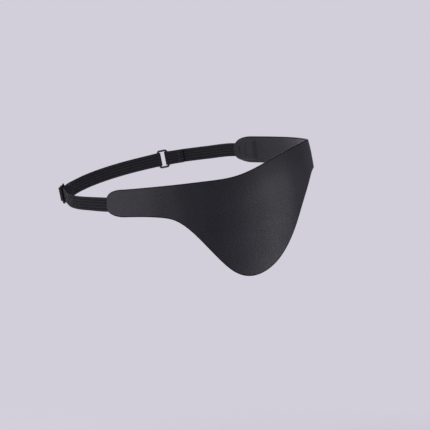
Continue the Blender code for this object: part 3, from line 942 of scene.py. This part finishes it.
def hard_finish(name, colour, tone_scale, rub_scale, rub_tone, rub_gloss, gloss, bumps, **shader_values):
    """Hard black surface whose edges are rubbed lighter and duller."""
    s = new_material(name, colour, **shader_values)
    place = s.place()
    tone, rub = s.mottle(place, tone_scale, 0.15), s.rub(place, rub_scale)
    gloss = s.times_plus(rub, rub_gloss, s.times(tone, gloss))
    colour = s.shaded(colour, s.times_plus(rub, rub_tone, tone), 0.5, 1.7)
    return s.finish(colour, gloss, s.noise(place, bumps, detail=2.0), 0.00001)


def plastic_finish():
    return hard_finish(
        "moulded_plastic", setting("finish").plastic, tone_scale=220.0, rub_scale=1300.0, rub_tone=0.5,
        rub_gloss=0.15, gloss=0.3, bumps=2600.0,
    )


def ring_finish():
    return hard_finish(
        "coated_ring", setting("finish").ring, tone_scale=260.0, rub_scale=1500.0, rub_tone=0.6,
        rub_gloss=0.2, gloss=0.27, bumps=1800.0, Coat_Roughness=0.12, Coat_Weight=0.6,
    )


@made_once("materials", "sewing_thread")
def thread_finish(name):
    """Twisted thread: slanting strands, read along the thread's own UV map."""
    colour = setting("finish").thread
    s = new_material(name, colour, Sheen_Weight=0.2)
    place, parts = s.place(), s.node("SeparateXYZ", {0: s.uv()}).outputs
    turns = s.times_plus(parts["X"], 1 / (3 * setting("stitches").thread), parts["Y"])
    twist = s.times_plus(s.maths("SINE", s.times(turns, 4 * math.pi)), 0.5, 0.5)
    # Painted shade: the colour is darker between the twisted strands and lighter on them.
    value = s.times(s.mottle(place, 400.0, 0.15), s.ranged(twist, 0.0, 1.0, 0.6, 1.3, smooth=False))
    gloss = s.ranged(twist, 0.0, 1.0, 0.7, 0.5, smooth=False)
    return s.finish(s.shaded(colour, value, 0.5, 1.6), gloss, twist, 0.00003)


# Pieces


def panel(name, inset, thickness, rounding, depth, materials):
    """A sheet cut to the pattern, laid on the form at depth(along, height), with rounded edges. Its UV map holds
    (along, height)."""
    columns = pattern_columns(inset)
    outline = [(x, low) for x, low, _ in columns] + [(x, high) for x, _, high in reversed(columns)]
    count = PANEL_ROWS + 2 * len(EDGE_ROWS)

    def height_at(k, part):
        _, low, high = columns[k]
        j = round(part * count)
        squeeze = min(1.0, (high - low) / (3 * EDGE_ROWS[-1]))
        if j < len(EDGE_ROWS):
            return low + EDGE_ROWS[j] * squeeze
        if count - j < len(EDGE_ROWS):
            return high - EDGE_ROWS[count - j] * squeeze
        low, high = low + EDGE_ROWS[-1] * squeeze, high - EDGE_ROWS[-1] * squeeze
        return low + (high - low) * (j - len(EDGE_ROWS) + 1) / (PANEL_ROWS + 2)

    def uv(k, part):
        return columns[k][0], height_at(k, part)

    def place(k, part):
        along, height = uv(k, part)
        return on_form(along, height, depth(along, height), waves=True)

    mesh = sheet_mesh(name, len(columns), count, place, uv)
    point_outwards(mesh)
    obj = finish_piece(name + "_sheet", mesh, materials, stands_for=[name], body="patch")
    round_off(obj, dense_outline(outline), thickness, rounding)
    solid = obj.modifiers.new("Thickness", "SOLIDIFY")
    solid.thickness, solid.offset = thickness, 0.0
    solid.vertex_group = "thickness"
    solid.thickness_vertex_group = 0.0
    solid.material_offset_rim = len(materials) - 1
    declare_sheet(columns)


def dense_outline(points):
    """Search tree of points close together on a closed outline."""
    sides = [(a, b, math.ceil(math.dist(a, b) / OUTLINE_STEP)) for a, b in zip(points, points[1:] + points[:1])]
    tree = kdtree.KDTree(sum(n for _, _, n in sides))
    for a, b, n in sides:
        for i in range(n):
            tree.insert((a[0] + (b[0] - a[0]) * i / n, a[1] + (b[1] - a[1]) * i / n, 0), 0)
    tree.balance()
    return tree


def round_off(obj, outline, thickness, rounding):
    """Thin the sheet towards its outline, so that its edges come out round, and mark the edge for wear."""
    mesh = obj.data
    away = [0.0] * len(mesh.vertices)
    for loop, uv in zip(mesh.loops, mesh.uv_layers["UVMap"].data):
        away[loop.vertex_index] = outline.find((*uv.uv, 0))[2]
    if len(mesh.materials) > 1:
        for face in mesh.polygons:
            if max(away[v] for v in face.vertices) < rounding * PAINT_REACH:
                face.material_index = 1
    mark_edges(mesh, [math.exp(-d / WEAR_REACH) for d in away])
    group = obj.vertex_groups.new(name="thickness")
    for index, d in enumerate(away):
        rise = math.sqrt(1 - (1 - min(d / rounding, 1.0)) ** 2)
        group.add([index], 1 - 2 * rounding / thickness * (1 - rise), "REPLACE")


def mark_edges(mesh, values):
    """Store how close each vertex is to an edge that handling rubs."""
    mesh.attributes.new("edge", "FLOAT", "POINT").data.foreach_set("value", values)


def declare_sheet(columns):
    """Work out the flat area that the sheet was cut to; the area is not kept or shown."""
    area = sum((b[0] - a[0]) * (a[2] - a[1] + b[2] - b[1]) / 2 for a, b in zip(columns, columns[1:]))


def elastic_pieces(frames, cuts):
    """Cut a strip's frames into pieces (name, first, last), and make each. Returns {name: mesh}."""
    ring, meshes, start = rib_profile(), {}, 0.0
    for name, first, last in cuts:
        meshes[name], start = strip_mesh(name, frames[first : last + 1], ring, start)
    return meshes


class BuildLeather(bpy.types.Operator):
    """Cut the leather face, lay it on the head form and paint its edge"""

    bl_idname = "eyepatch.leather"
    bl_label = "Leather face"

    def execute(self, context):
        leather = setting("leather")
        panel(
            "leather_face", 0.0, leather.thickness, leather.edge, lambda along, height: leather.thickness / 2,
            [leather_finish(), edge_finish()],
        )
        return {"FINISHED"}


class BuildLining(bpy.types.Operator):
    """Cut the soft lining and glue it behind the leather, over the elastic's ends"""

    bl_idname = "eyepatch.lining"
    bl_label = "Lining"

    def execute(self, context):
        leather, elastic = setting("leather"), setting("elastic")
        shallow = leather.thickness + leather.glue + leather.lining / 2
        extra = elastic.thickness + leather.glue
        panel(
            "lining", leather.inset, leather.lining, LINING_EDGE,
            lambda along, height: shallow + extra * pocket(along, height), [suede_finish()],
        )
        return {"FINISHED"}


class BuildStrap(bpy.types.Operator):
    """Run the long elastic from the right tab over the slider, round the ring and back to the slider"""

    bl_idname = "eyepatch.strap"
    bl_label = "Long elastic"

    def execute(self, context):
        loop = Loop()
        tab = loop.tab_run(1)
        path = belt(loop.strap_stops())[1:]
        frames = with_outs(tab + [(loop.point(flat), loop.out) for flat, _ in path], Vector((-1, 0, 0)))

        def at_stop(stop, which=0):
            """Number of the first frame at a stop, or of the last."""
            return [i for i, (_, k) in enumerate(path, len(tab)) if k == stop][which]

        def angle_at(number):
            return loop.angle_of(path[number - len(tab)][0])

        def spot(angle):
            return loop.point(loop.polar(angle, 0.0))

        slider_first, slider_last = at_stop(SLIDER_FIRST), at_stop(SLIDER_LAST, -1)
        outer_end, loop_start = at_stop(RING_SIDE, -1), at_stop(LOOP_START)
        bend = angle_at(outer_end)
        turned = [i for i, (_, k) in enumerate(path, len(tab)) if k >= RING_TURNED]
        inner_start = next(i for i in turned if angle_at(i) > bend)
        cuts = [
            ("elastic_right", 0, slider_first),
            ("elastic_over_slider", slider_first, slider_last),
            ("elastic_outer", slider_last, outer_end),
            ("elastic_ring_turn", outer_end, inner_start),
            ("elastic_inner", inner_start, loop_start),
            ("elastic_slider_loop", loop_start, len(frames) - 1),
        ]
        behind_slider = ("slider", "patch", spot(angle_at(slider_last) - SLIDER_MARGIN), spot(bend))
        blends = {
            "elastic_right": (
                "patch", "slider", spot(loop.tab_angle(1) - TAB_MARGIN), spot(angle_at(slider_first)),
            ),
            "elastic_outer": behind_slider,
            "elastic_ring_turn": ("patch", "ring", spot(bend), spot(loop.ring_angle + RING_MARGIN)),
            "elastic_inner": behind_slider,
        }
        for name, mesh in elastic_pieces(frames, cuts).items():
            blend = blends.get(name)
            finish_piece(
                name, mesh, [elastic_finish()], stands_for=["elastic_strap"],
                body=None if blend else "slider", blend=blend,
            )
        return {"FINISHED"}


class BuildKeeper(bpy.types.Operator):
    """Run the short elastic from the left tab to the ring and back, folded and sewn"""

    bl_idname = "eyepatch.keeper"
    bl_label = "Keeper elastic"

    def execute(self, context):
        loop = Loop()
        frames = loop.tab_run(-1) + [(loop.point(flat), loop.out) for flat, _ in belt(loop.keeper_stops())[1:]]
        mesh, _ = strip_mesh("keeper_elastic", with_outs(frames, Vector((1, 0, 0))), rib_profile(), 0.0)
        finish_piece(
            "keeper_elastic", mesh, [elastic_finish()], stands_for=["keeper_strap"], body="patch"
        )
        return {"FINISHED"}


class BuildSlider(bpy.types.Operator):
    """Mould the slider: a plate with a middle bar and two slots"""

    bl_idname = "eyepatch.slider"
    bl_label = "Slider"

    def execute(self, context):
        loop, parts = Loop(), setting("hardware")
        half = parts.slider_thickness / 2
        curve = new_curve(
            "slider", dimensions="2D", fill_mode="BOTH", resolution_u=CURVE_STEPS, bevel_resolution=SLIDER_ROUND,
            bevel_depth=parts.slider_edge, offset=-parts.slider_edge, extrude=half - parts.slider_edge,
        )
        half_slot = setting("elastic").width / 2 + parts.slider_side
        half_length = parts.slider_bar / 2 + parts.slider_slot + parts.slider_end
        rounded_loop(curve, 0, half_length, half_slot + parts.slider_rail, parts.slider_corner)
        for side in (1, -1):
            middle = side * (parts.slider_bar + parts.slider_slot) / 2
            rounded_loop(curve, middle, parts.slider_slot / 2, half_slot, parts.slider_edge * SLOT_CORNER)
        mesh = curve_mesh(curve)
        depths = [(half - abs(v.co.z)) / parts.slider_edge for v in mesh.vertices]
        mark_edges(mesh, [max(0.0, 1 - abs(into - RIM_WEAR) / RIM_REACH) for into in depths])
        flat = [abs(p.normal.z) > FLAT_NORMAL for p in mesh.polygons]
        mesh.transform(loop.frame_at(loop.slider_angle, loop.polar(loop.slider_angle, loop.slider_level)))
        finish_piece("slider_plate", mesh, [plastic_finish()], stands_for=["slider"], body="slider")
        for face, is_flat in zip(mesh.polygons, flat):
            face.use_smooth = not is_flat
        return {"FINISHED"}


class BuildRing(bpy.types.Operator):
    """Bend and coat the rectangular ring"""

    bl_idname = "eyepatch.ring"
    bl_label = "Ring"

    def execute(self, context):
        loop, parts = Loop(), setting("hardware")
        radius = parts.ring_wire / 2
        curve = new_curve(
            "ring", dimensions="3D", resolution_u=CURVE_STEPS, bevel_resolution=RING_ROUND, bevel_depth=radius
        )
        half_height = setting("elastic").width / 2 + parts.ring_side + radius
        rounded_loop(curve, 0, parts.ring_span / 2, half_height, parts.ring_corner)
        mesh = curve_mesh(curve)
        mark_edges(mesh, [RING_WEAR * abs(v.co.z) / radius for v in mesh.vertices])
        middle = (loop.ring_bar(1) + loop.ring_bar(-1)) / 2
        mesh.transform(loop.frame_at(loop.ring_angle, middle))
        finish_piece("ring_loop", mesh, [ring_finish()], stands_for=["ring"], body="ring")
        return {"FINISHED"}


def bar_tack(name, places, body):
    """Zigzag of thread at each matrix in places: x across the tack, y along it, z off the surface."""
    sizes = setting("stitches")
    radius, step, half = sizes.thread / 2, sizes.length / sizes.passes, sizes.width / 2
    points = []
    for n in range(sizes.passes):
        side, y = (1 if n % 2 else -1), -sizes.length / 2 + step * n
        for t, rise in TACK_PASS[1:] if n else TACK_PASS:
            points.append((side * half * (1 - 2 * t), y + step * t, radius * rise))
    whole = bmesh.new()
    for matrix in places:
        curve = new_curve(name, dimensions="3D", bevel_depth=radius, bevel_resolution=2, use_fill_caps=True)
        spline = curve.splines.new("POLY")
        spline.points.add(len(points) - 1)
        for p, co in zip(spline.points, points):
            p.co = (*co, 1)
        mesh = curve_mesh(curve)
        mesh.transform(matrix)
        whole.from_mesh(mesh)
        bpy.data.meshes.remove(mesh)
    bmesh.ops.recalc_face_normals(whole, faces=whole.faces)
    mesh = to_mesh(name, whole)
    finish_piece(name + "_thread", mesh, [thread_finish()], stands_for=[name], body=body)


class BuildTacks(bpy.types.Operator):
    """Sew the bar tacks of the tabs and of the folded ends"""

    bl_idname = "eyepatch.tacks"
    bl_label = "Bar tacks"

    def execute(self, context):
        loop, sizes, leather, elastic = Loop(), setting("stitches"), setting("leather"), setting("elastic")
        face = leather.thickness + leather.glue * 2 + elastic.thickness + leather.lining
        for side, label in ((1, "right"), (-1, "left")):
            height = tab_centre(side)
            for n, along in enumerate((sizes.first, sizes.second), 1):
                here = on_form(side * along, height, face)
                inward = (here - on_form(side * along, height)).normalized()
                up = up_form(side * along, height, face)
                turn = Matrix((up.cross(inward), up, inward)).transposed().to_4x4()
                bar_tack(f"{label}_tab_bar_tack_{n}", [Matrix.Translation(here) @ turn], "patch")
        self.fold_tacks(loop, sizes, elastic)
        return {"FINISHED"}

    def fold_tacks(self, loop, sizes, elastic):
        half = elastic.thickness / 2
        heading, near, far = taut_line(*loop.keeper_stops()[KEEPER_FLAT])
        out = Vector((-math.sin(heading), math.cos(heading)))
        angle, spot = math.degrees(math.atan2(out.x, out.y)), near.lerp(far, 0.5)
        over = Matrix.Rotation(math.pi, 4, "Y")
        places = [
            loop.frame_at(angle, spot + out * half),
            loop.frame_at(angle, spot - out * (half + loop.layer)) @ over,
        ]
        bar_tack("keeper_fold_bar_tack", places, "patch")
        under = loop.along(loop.slider_angle, -elastic.slider_fold + sizes.back)
        bar_tack("slider_fold_bar_tack", [loop.frame_at(under, loop.polar(under, 0.0)) @ over], "slider")


# Stage


def towards(azimuth, elevation):
    """Direction from the object to a viewer at that azimuth and elevation."""
    a, e = math.radians(azimuth), math.radians(elevation)
    return Vector((math.sin(a) * math.cos(e), -math.cos(a) * math.cos(e), math.sin(e)))


def facing(place, target):
    """Matrix of a camera or light at place that looks at target."""
    return Matrix.Translation(place) @ (target - place).to_track_quat("-Z", "Y").to_matrix().to_4x4()


# Softboxes: name, azimuth, elevation, distance, width, height, watts
SOFTBOXES = [
    ("front_softbox", 9.0, -9.0, 1.35, 1.15, 0.62, 8.7),
    ("back_softbox", -125.0, 14.0, 1.35, 1.35, 1.3, 9.6),
    ("top_softbox", -52.0, 82.0, 1.6, 1.4, 1.4, 14.0),
    ("far_softbox", 150.0, 25.0, 1.6, 1.2, 1.4, 10.0),
]
LIGHT_TINT = (0.935, 0.91, 1.0)
SENSOR = 36.0  # width of the camera's sensor in millimetres
FLOOR_HALF, FLOOR_STEPS = 2.2, 16
FLOOR_FADE = (0.45, 1.15)  # distances from the middle at which the floor starts to fade and is gone
FLOOR_TONE = (0.86, 0.84, 0.89)


class BuildStage(bpy.types.Operator):
    """Set the camera, the softboxes, the pale surroundings and the floor"""

    bl_idname = "eyepatch.stage"
    bl_label = "Stage"

    def execute(self, context):
        stage, scene = setting("stage"), context.scene
        back = towards(stage.azimuth, stage.elevation)
        right = Vector((0, 0, 1)).cross(back).normalized()
        aim = right * stage.shift_right - back.cross(right) * stage.shift_down
        data = bpy.data.cameras.new("camera")
        data.lens, data.sensor_width = stage.lens, SENSOR
        camera = add_object("camera", data)
        camera.matrix_world = facing(aim + back * stage.distance, aim)
        scene.camera = camera
        scene.view_settings.view_transform = "Standard"
        for name, azimuth, elevation, distance, wide, tall, watts in SOFTBOXES:
            light = bpy.data.lights.new(name, "AREA")
            light.shape, light.size, light.size_y, light.energy = "RECTANGLE", wide, tall, watts
            light.color = LIGHT_TINT
            add_object(name, light).matrix_world = facing(towards(azimuth, elevation) * distance, Vector((0, 0, 0)))
        self.surround(scene, stage)
        self.floor(stage)
        return {"FINISHED"}

    def surround(self, scene, stage):
        world = bpy.data.worlds.new("surround")
        scene.world = world
        world.use_nodes = True
        tree = world.node_tree
        tree.nodes.clear()
        s = Shading(tree)
        colour = (*stage.backdrop, 1.0)
        seen = s.node("Background", {"Color": colour, "Strength": 1.0}).outputs[0]
        lit = s.node("Background", {"Color": colour, "Strength": stage.fill}).outputs[0]
        mix = s.node("MixShader", {0: s.node("LightPath").outputs["Is Camera Ray"], 1: lit, 2: seen}).outputs[0]
        s.node("OutputWorld", {"Surface": mix})

    def floor(self, stage):
        bm = bmesh.new()
        bmesh.ops.create_grid(bm, x_segments=FLOOR_STEPS, y_segments=FLOOR_STEPS, size=FLOOR_HALF)
        bmesh.ops.translate(bm, verts=bm.verts, vec=(0, 0, -stage.floor_drop))
        mesh = to_mesh("floor", bm)
        s = new_material("pale_floor", FLOOR_TONE, Roughness=0.9)
        place = s.place()
        level = s.vector("MULTIPLY", {0: place, 1: (1.0, 1.0, 0.0)})
        fade = s.ranged(s.vector("LENGTH", {0: level}, "Value"), *FLOOR_FADE, 1.0, 0.0)
        colour = s.shaded(FLOOR_TONE, s.mottle(place, 3.0, 0.02), 0.9, 1.1)
        s.feed(s.tree.nodes["Principled BSDF"].inputs, {"Alpha": fade, "Base Color": colour})
        mesh.materials.append(s.material)
        add_object("floor", mesh)


# Add-on

STEPS = [BuildStage, BuildLeather, BuildLining, BuildStrap, BuildKeeper, BuildSlider, BuildRing, BuildTacks]


class EyePatchPanel(bpy.types.Panel):
    """Sidebar panel with the eye patch's sizes and building steps"""

    bl_idname = "VIEW3D_PT_eye_patch"
    bl_label = "Eye Patch"
    bl_space_type = "VIEW_3D"
    bl_region_type = "UI"
    bl_category = "Eye Patch"

    def draw(self, context):
        for name in GROUPS:
            box = self.layout.box()
            box.label(text=name.removeprefix("patch_").capitalize())
            for prop in GROUPS[name].__annotations__:
                box.prop(getattr(context.scene, name), prop)
        for step in STEPS:
            self.layout.operator(step.bl_idname)


def register():
    for cls in [*GROUPS.values(), *STEPS, EyePatchPanel]:
        bpy.utils.register_class(cls)
    for name, group in GROUPS.items():
        setattr(bpy.types.Scene, name, PointerProperty(type=group))


def unregister():
    for name in GROUPS:
        delattr(bpy.types.Scene, name)
    for cls in [EyePatchPanel, *reversed(STEPS), *GROUPS.values()]:
        bpy.utils.unregister_class(cls)


def main():
    register()
    for step in STEPS:
        group, name = step.bl_idname.split(".")
        getattr(getattr(bpy.ops, group), name)()


if __name__ == "__main__":
    main()
